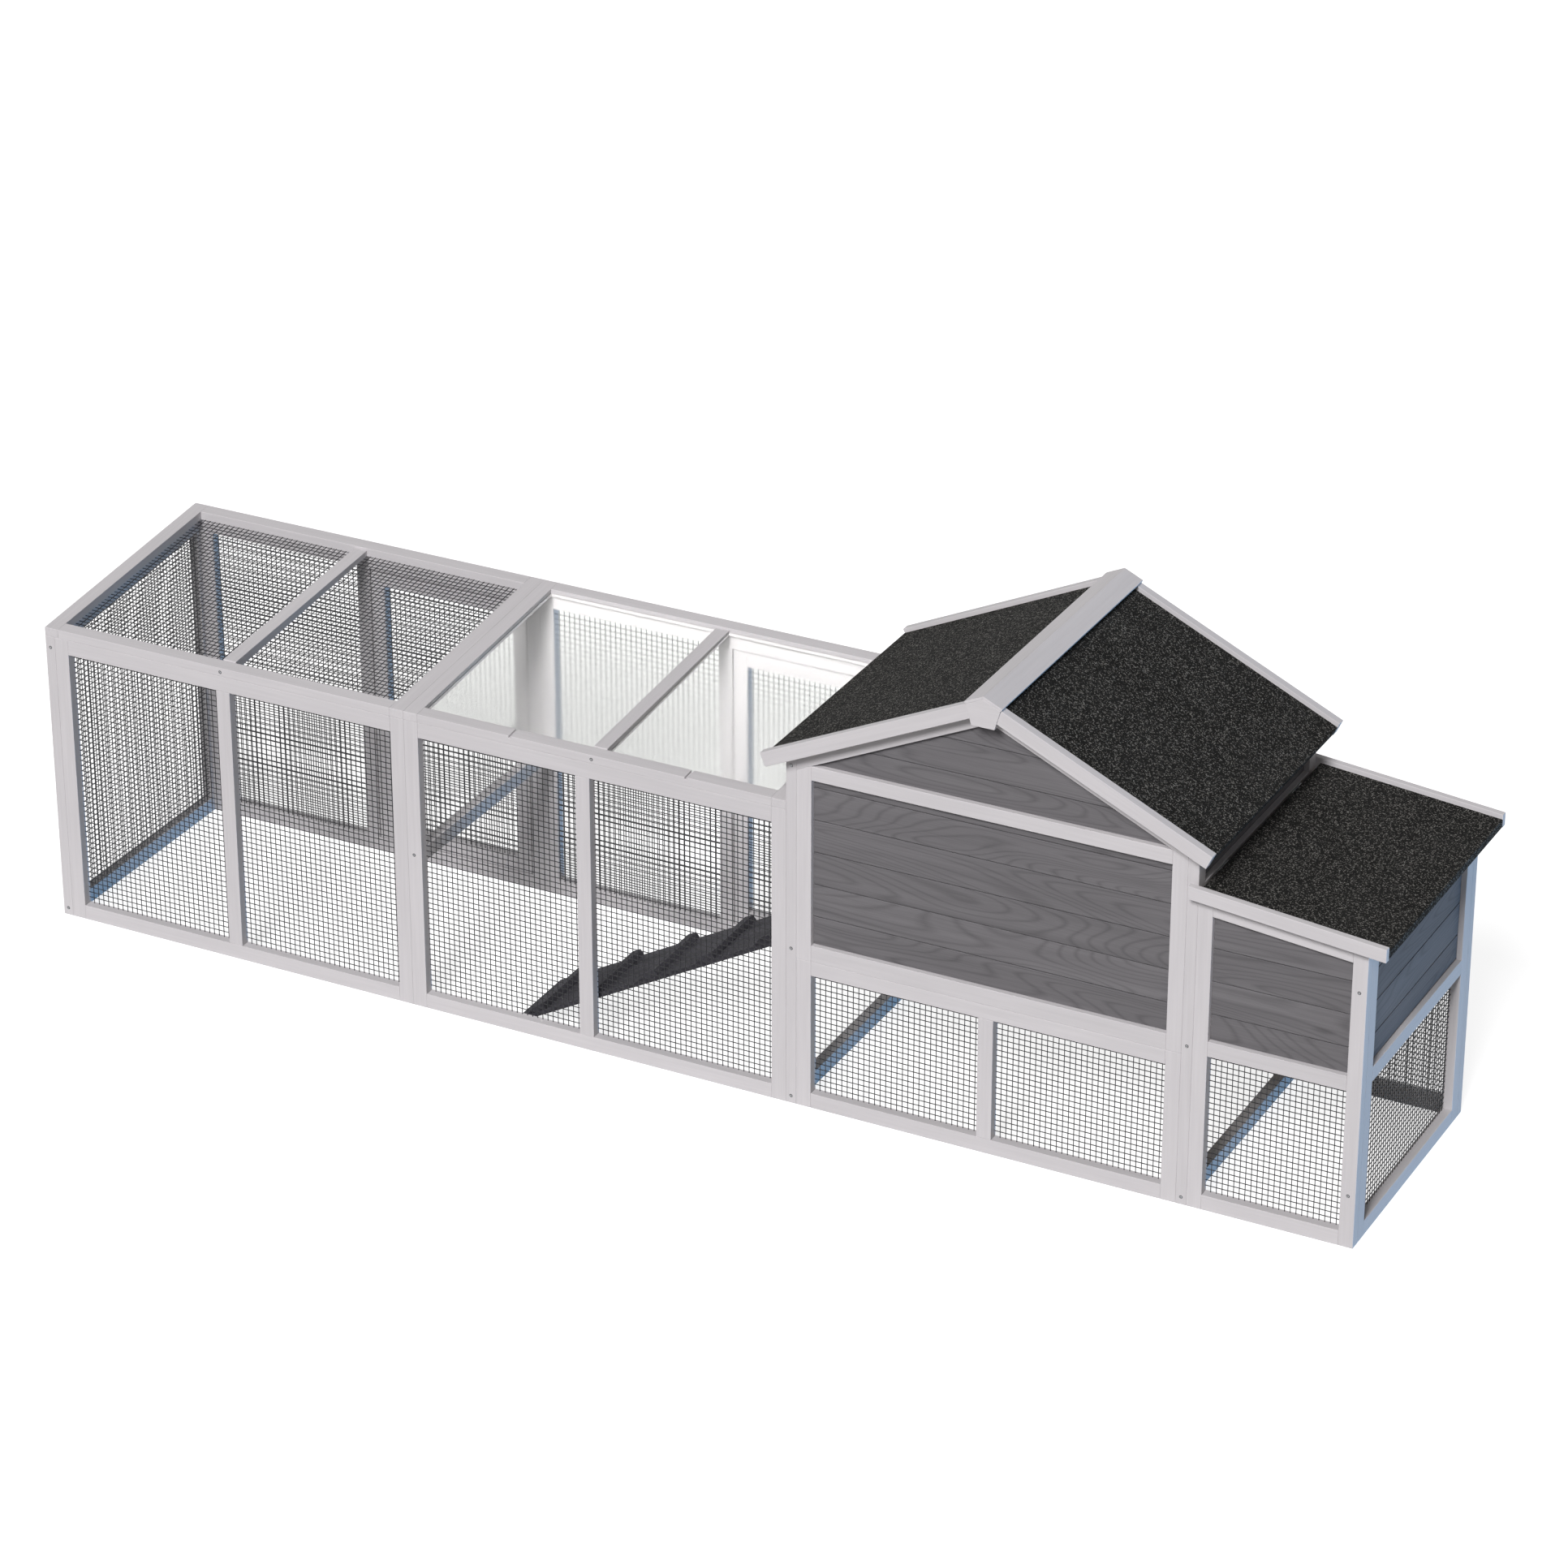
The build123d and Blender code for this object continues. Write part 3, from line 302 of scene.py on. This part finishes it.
def add_net(netting, corner, side, rise, length, height_0, height_1):
    """Wires of one net whose height changes evenly from height_0 to height_1 along its length."""
    out = side.cross(rise)
    count = round(length / WIRE_PITCH)
    for i in range(1, count):
        u = length * i / count
        top = height_0 + (height_1 - height_0) * u / length
        foot = corner + side * u
        add_wire(netting, foot, foot + rise * top, out)
    low, high = min(height_0, height_1), max(height_0, height_1)
    pitch = low / round(low / WIRE_PITCH)
    v = pitch
    while v < high - pitch / 3:
        start = max(0.0, (v - height_0) / (height_1 - height_0) * length) if v > low else 0.0
        add_wire(netting, corner + rise * v + side * start, corner + rise * v + side * length, -out)
        v += pitch


def wire_net(node):
    """Every net of a CAD node, wire by wire."""
    mesh = frame["nodes"][node].data
    netting = bmesh.new()
    for first, last in solid_spans(mesh):
        used = {i for face in mesh.polygons[first:last] for i in face.vertices}
        points = [mesh.vertices[i].co for i in used]
        low = Vector(min(p[k] for p in points) for k in range(3))
        high = Vector(max(p[k] for p in points) for k in range(3))
        size = high - low
        side, rise = Vector((1, 0, 0)), Vector((0, 0, 1))
        if size.x < NET_THIN:
            side = Vector((0, 1, 0))
        elif size.y > NET_THIN:
            rise = Vector((0, size.y, size.z - NET_T)).normalized()
        length = size.dot(side)
        ends = []
        for stop in (low.dot(side), high.dot(side)):
            near = [p for p in points if abs(p.dot(side) - stop) < END_REACH]
            ends.append(max((p - low).dot(rise) for p in near))
        if size.x < NET_THIN:
            middle = low + Vector((size.x / 2, 0, 0))
        elif size.y < NET_THIN:
            middle = low + Vector((0, size.y / 2, 0))
        else:
            middle = low + Vector((0, 0, NET_T / 2))
        add_net(netting, middle, side, rise, length, *ends)
    mesh = bpy.data.meshes.new(node + "_wires")
    netting.to_mesh(mesh)
    netting.free()
    piece = show(mesh, node + "_wires", body_of(node), "black_wire", black_wire)
    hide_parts(node)


for node in ("run_1_mesh", "run_2_mesh", "run_1_door_mesh", "run_2_door_mesh", "house_mesh",
             "nest_mesh"):
    wire_net(node)

# Roof frames of the runs: flat timbers laid on the panels, with one rafter each.
# Same painted softwood as the panels, screwed down through the edges.
# The second frame holds the clear sheets, and its front edge has two drip grooves.
for node in ("run_1_roof_frame", "run_2_roof_frame"):
    made_up(node, "white_paint", white_paint)

# Roof sheets of the second run: ribbed polycarbonate cut to fit between the timbers.
# Faintly green with fine ribs along the coop, so what is under it only shows as a blur.
# The sheets lie in the frame and are held down by the rafter and the edge timbers.
RIB_PITCH = 0.0042
RIB_RELIEF = 0.0002
WAVE_PERIOD = 0.314
SHEET_EASE = 0.0004
SHEET_DARK = (0.88, 0.9, 0.87)
SHEET_PALE = (0.985, 0.99, 0.975)
clear_sheet, nodes, links, shader = new_finish("clear_sheet", (0.9, 0.93, 0.91), 0.13)
shader.inputs["Transmission Weight"].default_value = 0.97
shader.inputs["IOR"].default_value = 1.16
place = nodes.new("ShaderNodeTexCoord")
ribs = nodes.new("ShaderNodeTexWave")
ribs.bands_direction = "Y"
ribs.inputs["Scale"].default_value = WAVE_PERIOD / RIB_PITCH
links.new(place.outputs["Object"], ribs.inputs["Vector"])
raised(nodes, links, shader, ribs.outputs["Fac"], 0.5, RIB_RELIEF)
tint = ramp(nodes, links, ribs.outputs["Fac"], (0.0, SHEET_DARK), (0.6, SHEET_PALE))
links.new(tint, shader.inputs["Base Color"])
sheets = made_up("run_2_roof_sheets", "clear_sheet", clear_sheet, SHEET_EASE, 1)
# Lamps pass a refracting sheet only if it casts no shadow.
sheets.visible_shadow = False

# House walls: the two side walls that stand through the coop, and the front and far frames.
# Painted softwood like the run panels, with raking rails under the roof at the ends.
# The side walls carry the floor, the ramp hinge and the nest lid.
for node in ("left_wall_frame", "right_wall_frame", "house_front_lower_frame",
             "house_back_lower_frame", "house_front_upper_frame", "house_back_upper_frame"):
    made_up(node, "white_paint", white_paint)

# Siding of the house and the nest box: level boards set back inside the frames.
# Fir with a clear grey stain, so dark grain lines and knots show, and a groove under each board.
# The boards are slid into the frames and pinned from inside.
STAIN_DARK = (0.148, 0.143, 0.15)
STAIN_MID = (0.168, 0.162, 0.17)
STAIN_LIGHT = (0.19, 0.184, 0.192)
FINE_STRETCH = (9, 420, 420)
BAND_STRETCH = (1.6, 30, 30)
GROWTH_STRETCH = (1.1, 9.5, 9.5)
RING_STEP = 0.017
RING_LINE = 0.0075
KNOT_STRETCH = (2.6, 10.0, 10.0)
STAIN_RELIEF = 0.0008
BOARD_EASE = 0.0006


def stained(name, dark, middle, light, roughness=0.62):
    """Stain on fir: fine streaks, wider bands and a few knots, all along the grain."""
    finish, nodes, links, shader = new_finish(name, middle, roughness)
    shader.inputs["Specular IOR Level"].default_value = 0.12
    fine = streaks(nodes, links, FINE_STRETCH, detail=3.0, warp=0.3)
    wide = streaks(nodes, links, BAND_STRETCH)
    base = ramp(nodes, links, wide, (0.3, dark), (0.5, middle), (0.72, light))
    hair = ramp(nodes, links, fine, (0.3, grey(0.9)), (0.6, grey(1.02)))
    toned = blended(nodes, links, "MULTIPLY", 1.0, base, hair)
    growth = streaks(nodes, links, GROWTH_STRETCH, detail=0.6, warp=0.5)
    rings = nodes.new("ShaderNodeMath")
    rings.operation = "PINGPONG"
    rings.inputs[1].default_value = RING_STEP
    links.new(growth, rings.inputs[0])
    line = ramp(nodes, links, rings.outputs[0], (0.0, grey(0.74)), (RING_LINE, grey(1.0)))
    toned = blended(nodes, links, "MULTIPLY", 0.8, toned, line)
    place = nodes.new("ShaderNodeAttribute")
    place.attribute_name = "grain"
    spread = nodes.new("ShaderNodeMapping")
    spread.inputs["Scale"].default_value = KNOT_STRETCH
    links.new(place.outputs["Vector"], spread.inputs["Vector"])
    knots = nodes.new("ShaderNodeTexVoronoi")
    knots.inputs["Scale"].default_value = 1.0
    links.new(spread.outputs["Vector"], knots.inputs["Vector"])
    ring = ramp(nodes, links, knots.outputs["Distance"], (0.03, grey(0.55)), (0.09, grey(1.0)))
    toned = blended(nodes, links, "MULTIPLY", 0.7, toned, ring)
    toned = blended(nodes, links, "MULTIPLY", 1.0, toned, tone_of(nodes, links, 0.05))
    links.new(toned, shader.inputs["Base Color"])
    raised(nodes, links, shader, fine, 0.25, STAIN_RELIEF)
    return finish


grey_stain = stained("grey_stain", STAIN_DARK, STAIN_MID, STAIN_LIGHT)
for node in ("house_front_siding", "house_back_siding", "left_wall_siding", "right_wall_siding"):
    made_up(node, "grey_paint", grey_stain, BOARD_EASE, 1)

# House floor on its battens, and the perch on two posts.
# Bare fir boards, left unpainted where the hens walk and roost.
# The floor rests on battens nailed to the walls, and the posts are nailed to the floor.
FIR_DARK = (0.38, 0.27, 0.16)
FIR_MID = (0.56, 0.43, 0.28)
FIR_LIGHT = (0.66, 0.54, 0.38)
bare_fir = stained("bare_fir", FIR_DARK, FIR_MID, FIR_LIGHT, 0.7)
for node in ("house_floor", "perch"):
    made_up(node, "bare_wood", bare_fir)

# Roof of the house: two board decks that meet at the ridge, under mineral roofing felt.
# The felt is black with pale flecks of crushed slate, and is folded down over the eaves.
# It is tacked along its edges, between the bargeboards.
FELT_BLACK = (0.006, 0.006, 0.0055)
FELT_WORN = (0.013, 0.013, 0.0125)
FELT_FLECK = (0.22, 0.215, 0.2)
FLECK_SCALE = 470.0
FELT_RELIEF = 0.0008
FELT_EASE = 0.0012
felt, nodes, links, shader = new_finish("roof_felt", FELT_BLACK, 0.88)
shader.inputs["Specular IOR Level"].default_value = 0.1
blotch = streaks(nodes, links, grey(9), detail=3.0, source="object")
wash = ramp(nodes, links, blotch, (0.3, FELT_BLACK), (0.7, FELT_WORN))
place = nodes.new("ShaderNodeTexCoord")
slate = nodes.new("ShaderNodeTexVoronoi")
slate.inputs["Scale"].default_value = FLECK_SCALE
links.new(place.outputs["Object"], slate.inputs["Vector"])
grains = nodes.new("ShaderNodeSeparateColor")
links.new(slate.outputs["Color"], grains.inputs["Color"])
flecks = ramp(nodes, links, grains.outputs[0], (0.74, grey(0.0)), (1.0, grey(1.0)))
speckled = blended(nodes, links, "MIX", flecks, wash, (*FELT_FLECK, 1))
links.new(speckled, shader.inputs["Base Color"])
raised(nodes, links, shader, grains.outputs[0], 0.5, FELT_RELIEF)
made_up("roof_decks", "bare_wood", bare_fir)
made_up("roof_felts", "roof_felt", felt, FELT_EASE)

# Bargeboards on the sloping roof edges, a plate over each joint at the ridge, and the ridge cap.
# The boards and plates are painted softwood; the cap is two bent wings of painted metal.
# Boards are nailed to the deck ends, plates over them, and the cap is nailed on top.
TRIM_EASE = 0.0009
for node in ("bargeboards", "apex_plates", "ridge_cap"):
    made_up(node, "white_paint", white_paint, TRIM_EASE)

# Nest box on the right end: front, far and side frames with grey siding, and its inside.
# Painted frames and stained boards like the house; floor and divider are bare fir.
# The frames are screwed to the right house wall and to each other.
for node in ("nest_front_frame", "nest_back_frame", "nest_side_frame"):
    made_up(node, "white_paint", white_paint)
made_up("nest_siding", "grey_paint", grey_stain, BOARD_EASE, 1)
made_up("nest_inside", "bare_wood", bare_fir)

# Lid of the nest box: a board deck with felt folded over its low end, and two side boards.
# Same felt and paint as the house roof.
# It turns on two hinges by the house wall, and its side boards hide the deck's ends.
DECK_EASE = 0.0005
made_up("lid_deck", "bare_wood", bare_fir, DECK_EASE, 1)
made_up("lid_felt", "roof_felt", felt, FELT_EASE)
made_up("lid_boards", "white_paint", white_paint)

# Ramp from the ground to the pop hole, with five cleats across it, and the sliding pop door.
# Softwood boards with a dark grey stain that lets the grain through.
# The cleats are nailed on, and the door slides between two painted runners.
RAMP_DARK = (0.036, 0.035, 0.041)
RAMP_MID = (0.058, 0.056, 0.066)
RAMP_LIGHT = (0.078, 0.076, 0.088)
dark_stain = stained("dark_stain", RAMP_DARK, RAMP_MID, RAMP_LIGHT)
for node in ("ramp_board", "ramp_cleats", "pop_door"):
    made_up(node, "dark_board", dark_stain)
made_up("pop_door_runners", "white_paint", white_paint)

# Doors in the far side: two netted frames for the runs and a boarded one for the house.
# Painted frames like the panels around them, and grey siding in the house door.
# Each hangs on two butt hinges and is held by a bolt.
for node in ("run_1_door_frame", "run_2_door_frame", "house_door_frame"):
    made_up(node, "white_paint", white_paint)
made_up("house_door_siding", "grey_paint", grey_stain, BOARD_EASE, 1)

# Hinges, pins, bolts and keepers.
# Pressed and turned steel with a dull zinc coat.
# The leaves are screwed on, each pin is riveted in its knuckles, and the bolts slide in guides.
ZINC_DULL = (0.42, 0.43, 0.45)
ZINC_BRIGHT = (0.62, 0.63, 0.64)
zinc, nodes, links, shader = new_finish("zinc", (0.5, 0.51, 0.52), 0.38, 0.9)
spangle = streaks(nodes, links, grey(180), detail=2.0, source="object")
links.new(ramp(nodes, links, spangle, (0.3, ZINC_DULL), (0.7, ZINC_BRIGHT)),
          shader.inputs["Base Color"])
for node in ("fixed_fittings", "hinge_pins", "run_1_door_fittings", "run_2_door_fittings",
             "house_door_fittings", "lid_hinges", "ramp_hinge", "run_1_bolt", "run_2_bolt",
             "house_bolt"):
    frame["nodes"][node].data.materials.clear()
    frame["nodes"][node].data.materials.append(zinc)

# Screws on the front face where the panels meet.
# Zinc-plated countersunk screws with a cross recess. The shade in each recess and in the seat round
# each head is painted on, as dark bars and a dark disc.
# They are driven through one panel into the next.
SCREW_R = 0.0027
SEAT_R = 0.0039
HEAD_T = 0.0009
SEAT_T = 0.0005
SEAT_BACK = 0.0005
HEAD_TAPER = 0.86
HEAD_SIDES = 20
SLOT_L = 0.0034
SLOT_W = 0.0009
SLOT_T = 0.0004
SLOT_BACK = 0.00015


def painted_cross_shade(heads, middle, dark):
    """Painted shade of the cross recess: two crossed dark bars set a hair in front of the head's
    face.
    """
    for size in ((SLOT_L, SLOT_W), (SLOT_W, SLOT_L)):
        scale = Matrix.Diagonal((size[0], SLOT_T, size[1], 1))
        bar = bmesh.ops.create_cube(heads, size=1, matrix=Matrix.Translation(middle) @ scale)
        for face in {f for v in bar["verts"] for f in v.link_faces}:
            face.material_index = dark


heads = bmesh.new()
mesh = frame["nodes"]["screws"].data
lay_flat = Matrix.Rotation(radians(90), 4, "X")
for first, last in solid_spans(mesh):
    used = {i for face in mesh.polygons[first:last] for i in face.vertices}
    points = [mesh.vertices[i].co for i in used]
    middle = sum(points, Vector()) / len(points)
    front = min(p.y for p in points)
    # The head is zinc. The wider dark disc set back behind it is painted shade, the dark rim of the
    # countersunk seat.
    for radius, face_y, depth, index in ((SCREW_R, front, HEAD_T, 0),
                                         (SEAT_R, front + SEAT_BACK, SEAT_T, 1)):
        spot = Matrix.Translation((middle.x, face_y + depth / 2, middle.z))
        disc = bmesh.ops.create_cone(heads, cap_ends=True, segments=HEAD_SIDES, radius1=radius,
                                     radius2=radius * HEAD_TAPER, depth=depth, matrix=spot @ lay_flat)
        for face in {f for v in disc["verts"] for f in v.link_faces}:
            face.material_index = index
    painted_cross_shade(heads, Vector((middle.x, front + SLOT_BACK, middle.z)), 1)
mesh = bpy.data.meshes.new("screw_heads")
heads.to_mesh(mesh)
heads.free()
# Dark material for the painted shade in the seats and recesses, mottled a little.
painted_shade, nodes, links, shader = new_finish("screw_painted_shade", (0.02, 0.02, 0.02), 0.6)
shade_mottle = streaks(nodes, links, grey(700), detail=1.0, source="object")
links.new(ramp(nodes, links, shade_mottle, (0.3, grey(0.012)), (0.7, grey(0.03))),
          shader.inputs["Base Color"])
screw_heads = show(mesh, "screw_heads", "coop", "zinc", zinc, painted_shade)
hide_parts("screws")

# Studio: a white floor that keeps the shadow, and soft light from the front and the right.
# The floor and the world look white to the camera, in reflections and through the sheets only.
# The lamp from the low right is cool and shines up past the floor onto the right-hand faces.
AMBIENT = 0.12
FLOOR_GLOW = 0.86
FLOOR_GREY = 0.45
FLOOR_HALF = 30


def seen_factor(nodes, links):
    """1 for rays from the camera, in reflections and through clear sheets, else 0."""
    path = nodes.new("ShaderNodeLightPath")
    total = path.outputs["Is Camera Ray"]
    for name in ("Is Glossy Ray", "Is Transmission Ray"):
        node = nodes.new("ShaderNodeMath")
        node.operation = "MAXIMUM"
        links.new(total, node.inputs[0])
        links.new(path.outputs[name], node.inputs[1])
        total = node.outputs[0]
    return total


floor_mesh = bpy.data.meshes.new("floor")
ground = bmesh.new()
bmesh.ops.create_grid(ground, x_segments=1, y_segments=1, size=FLOOR_HALF)
ground.to_mesh(floor_mesh)
ground.free()
floor = bpy.data.objects.new("floor", floor_mesh)
bpy.context.scene.collection.objects.link(floor)
floor.visible_shadow = False
floor_paint, nodes, links, shader = new_finish("floor_paint", grey(FLOOR_GREY), 0.9)
shader.inputs["Specular IOR Level"].default_value = 0.0
glow = nodes.new("ShaderNodeEmission")
glow_level = nodes.new("ShaderNodeMath")
glow_level.operation = "MULTIPLY"
glow_level.inputs[1].default_value = FLOOR_GLOW
links.new(seen_factor(nodes, links), glow_level.inputs[0])
links.new(glow_level.outputs[0], glow.inputs["Strength"])
both = nodes.new("ShaderNodeAddShader")
links.new(shader.outputs[0], both.inputs[0])
links.new(glow.outputs[0], both.inputs[1])
links.new(both.outputs[0], nodes["Material Output"].inputs["Surface"])
floor_mesh.materials.append(floor_paint)

world = bpy.data.worlds.new("studio")
world.use_nodes = True
bpy.context.scene.world = world
nodes, links = world.node_tree.nodes, world.node_tree.links
level = nodes.new("ShaderNodeMapRange")
level.inputs["To Min"].default_value = AMBIENT
level.inputs["To Max"].default_value = 1.0
links.new(seen_factor(nodes, links), level.inputs["Value"])
nodes["Background"].inputs["Color"].default_value = (1, 1, 1, 1)
links.new(level.outputs["Result"], nodes["Background"].inputs["Strength"])


def sun(name, azimuth, elevation, strength, color, softness):
    """Lamp far away in the direction of an azimuth and an elevation, in degrees."""
    lamp = bpy.data.lights.new(name, "SUN")
    lamp.energy = strength
    lamp.color = color
    lamp.angle = radians(softness)
    holder = bpy.data.objects.new(name, lamp)
    a, e = radians(azimuth), radians(elevation)
    back = Vector((sin(a) * cos(e), -cos(a) * cos(e), sin(e)))
    holder.rotation_mode = "QUATERNION"
    holder.rotation_quaternion = (-back).to_track_quat("-Z", "Y")
    bpy.context.scene.collection.objects.link(holder)


sun("front_light", 6, 39, 3.05, (1.0, 0.985, 0.99), 18)
sun("right_light", 97, -18, 1.15, (0.1, 0.5, 1.0), 20)

# Camera at the photograph's place, looking down from the front right.
# Its lens and position were solved from the coop's straight edges.
LENS = 121.84
CAMERA_PLACE = (4.66476, -8.88913, 5.65707)
LOOK_AZIMUTH = 27.245
LOOK_DOWN = 26.948
eye = bpy.data.cameras.new("photo_view")
eye.sensor_width = 36
eye.lens = LENS
camera = bpy.data.objects.new("photo_view", eye)
camera.location = CAMERA_PLACE
turn, tilt = radians(LOOK_AZIMUTH), radians(LOOK_DOWN)
look = Vector((-sin(turn) * cos(tilt), cos(turn) * cos(tilt), -sin(tilt)))
camera.rotation_mode = "QUATERNION"
camera.rotation_quaternion = look.to_track_quat("-Z", "Y")
bpy.context.scene.collection.objects.link(camera)
bpy.context.scene.camera = camera
bpy.context.scene.view_settings.view_transform = "Standard"
